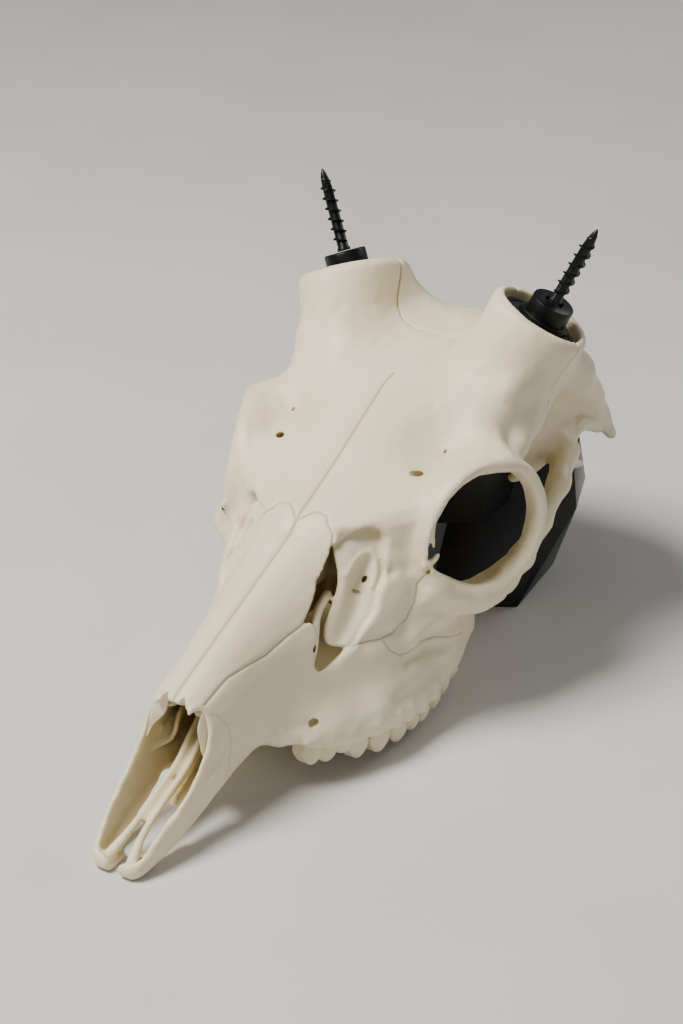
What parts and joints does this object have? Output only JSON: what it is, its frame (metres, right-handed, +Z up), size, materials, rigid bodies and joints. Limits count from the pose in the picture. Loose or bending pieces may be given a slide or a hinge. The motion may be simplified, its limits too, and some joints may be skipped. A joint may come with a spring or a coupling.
{
  "type": "replica fallow deer skull antler mount",
  "caption": "Life-size moulded replica of a fallow deer skull with open antler sockets, black antler screws on collars, and a faceted black base under the braincase.",
  "frame": {"origin": "on the floor, in the middle of the base block's foot", "axes": "+Z up, -Y towards the nose, +X to the animal's left"},
  "size_m": [0.132, 0.2908, 0.1685],
  "materials": {
    "bone_white": "satin ivory",
    "disc_grey": "matt dark grey",
    "hardware_black": "semi-gloss black",
    "screw_black": "black coated steel",
    "base_black": "semi-gloss black facets"
  },
  "bodies": {
    "root": {"braincase": "bone_white", "frontal_left": "bone_white", "frontal_right": "bone_white", "nasal_left": "bone_white", "nasal_right": "bone_white", "maxilla_left": "bone_white", "maxilla_right": "bone_white", "zygomatic_left": "bone_white", "zygomatic_right": "bone_white", "premaxilla_left": "bone_white", "premaxilla_right": "bone_white", "socket_disc_left": "disc_grey", "socket_disc_right": "disc_grey", "antler_collar_left": "hardware_black", "antler_collar_right": "hardware_black", "antler_screw_left": "screw_black", "antler_screw_right": "screw_black", "base_block": "base_black"}
  },
  "joints": []
}
